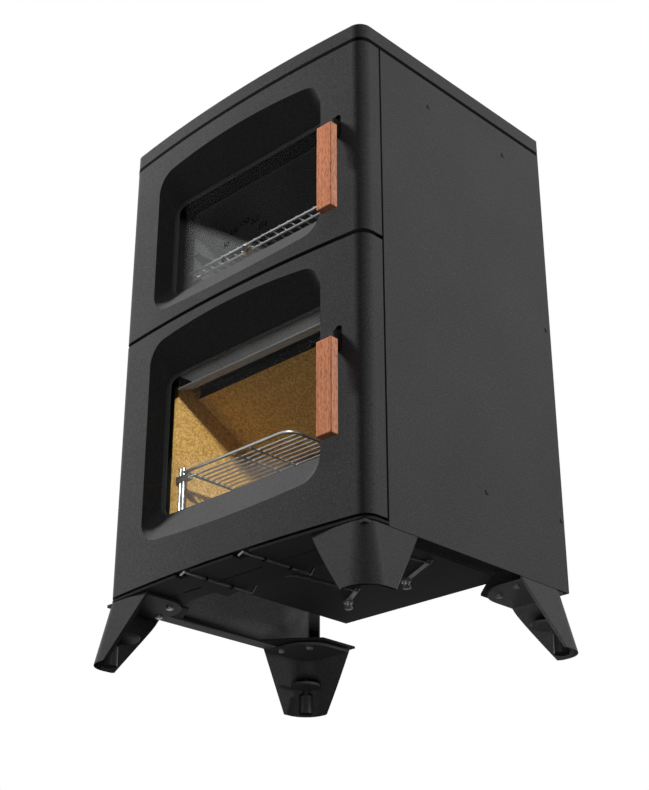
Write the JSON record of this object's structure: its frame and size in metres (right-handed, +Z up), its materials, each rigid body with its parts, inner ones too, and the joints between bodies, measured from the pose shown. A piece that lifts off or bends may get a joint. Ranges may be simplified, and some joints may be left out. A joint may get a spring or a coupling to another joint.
{
  "type": "wood cookstove",
  "caption": "Grey steel wood cookstove with a glazed oven above a glazed firebox, bowed doors with wooden grips, folded splayed legs and air dampers underneath",
  "frame": {"origin": "centre of the footprint on the floor, under the four levelling feet", "axes": "+Z is up, -Y is the front with the doors, +X is the handle side when seen from the front"},
  "size_m": [0.646, 0.539, 1.043],
  "materials": {
    "painted_steel": "grey high-temperature paint, fine texture",
    "black_steel": "black high-temperature paint",
    "cast": "dark cast iron",
    "rope": "woven glass rope",
    "bare_steel": "bare zinc-plated steel",
    "chrome": "polished",
    "brass": "machined",
    "beech": "oiled beech, reddish",
    "vermiculite": "porous pressed fire board",
    "glass": "heat-proof window glass"
  },
  "bodies": {
    "stove": {"top_plate": "painted_steel", "flue_collar": "cast", "side_panel_left": "painted_steel", "side_panel_right": "painted_steel", "panel_plugs": "bare_steel", "back_panel": "painted_steel", "base_frame": "black_steel", "front_frame": "black_steel", "case_left": "black_steel", "case_right": "black_steel", "case_back": "black_steel", "case_top_plate": "black_steel", "hearth_shelf": "black_steel", "ash_box": "black_steel", "oven_liner": "black_steel", "oven_rail_left": "bare_steel", "oven_rail_right": "bare_steel", "oven_rack": "bare_steel", "fire_brick_left": "vermiculite", "fire_brick_right": "vermiculite", "fire_brick_back": "vermiculite", "baffle": "vermiculite", "air_wash_deflector": "bare_steel", "fire_grate": "cast", "ash_pan": "black_steel", "grill": "bare_steel", "grill_post": "bare_steel", "leg_front_left": "black_steel", "leg_front_right": "black_steel", "leg_rear_left": "black_steel", "leg_rear_right": "black_steel", "levelling_feet": "bare_steel", "leg_screws": "bare_steel", "hinge_plate": "black_steel", "hinge_pins": "bare_steel", "catch_ears": "bare_steel", "catch_rollers": "bare_steel", "rod_guides": "black_steel", "damper_pivots": "bare_steel"},
    "oven_door": {"oven_door": "painted_steel", "oven_glass": "glass", "oven_glass_frame": "cast", "oven_seal": "rope", "oven_lever_pin": "bare_steel", "thermometer_bezel": "chrome", "thermometer_nut": "brass"},
    "fire_door": {"fire_door": "painted_steel", "fire_glass": "glass", "fire_glass_frame": "cast", "fire_seal": "rope", "fire_lever_pin": "bare_steel"},
    "oven_handle": {"oven_lever": "bare_steel", "oven_grip": "beech"},
    "fire_handle": {"fire_lever": "bare_steel", "fire_grip": "beech"},
    "thermometer_needle": {"thermometer_needle": "black_steel"},
    "primary_air": {"primary_air_rod": "bare_steel"},
    "secondary_air": {"secondary_air_rod": "bare_steel"},
    "left_damper": {"damper_left": "bare_steel"},
    "right_damper": {"damper_right": "bare_steel"}
  },
  "joints": [
    {"name": "oven_door_hinge", "type": "hinge", "parent": "stove", "child": "oven_door", "pos_m": [-0.288, -0.2165, 0.786], "axis": [0, 0, -1], "range_deg": [0, 105]},
    {"name": "fire_door_hinge", "type": "hinge", "parent": "stove", "child": "fire_door", "pos_m": [-0.288, -0.2165, 0.354], "axis": [0, 0, -1], "range_deg": [0, 105]},
    {"name": "oven_handle_tilt", "type": "hinge", "parent": "oven_door", "child": "oven_handle", "pos_m": [0.248, -0.2185, 0.809], "axis": [-1, 0, 0], "range_deg": [0, 20]},
    {"name": "fire_handle_tilt", "type": "hinge", "parent": "fire_door", "child": "fire_handle", "pos_m": [0.248, -0.2185, 0.411], "axis": [-1, 0, 0], "range_deg": [0, 20]},
    {"name": "thermometer_turn", "type": "hinge", "parent": "oven_door", "child": "thermometer_needle", "pos_m": [-0.0094, -0.2045, 0.6979], "axis": [0, 1, 0], "range_deg": [0, 180]},
    {"name": "primary_air_slide", "type": "slide", "parent": "stove", "child": "primary_air", "axis": [0, 1, 0], "range_m": [0, 0.02]},
    {"name": "secondary_air_slide", "type": "slide", "parent": "stove", "child": "secondary_air", "axis": [0, 1, 0], "range_m": [0, 0.02]},
    {"name": "left_damper_turn", "type": "hinge", "parent": "stove", "child": "left_damper", "pos_m": [-0.079, 0.1295, 0.1469], "axis": [0, 0, 1], "range_deg": [0, 15.92]},
    {"name": "right_damper_turn", "type": "hinge", "parent": "stove", "child": "right_damper", "pos_m": [0.071, 0.1135, 0.1469], "axis": [0, 0, 1], "range_deg": [0, 10.84]}
  ],
  "couplings": [
    {"joint": "left_damper_turn", "follows": "primary_air_slide", "rad_per_m": 13.627},
    {"joint": "right_damper_turn", "follows": "secondary_air_slide", "rad_per_m": 9.197}
  ]
}
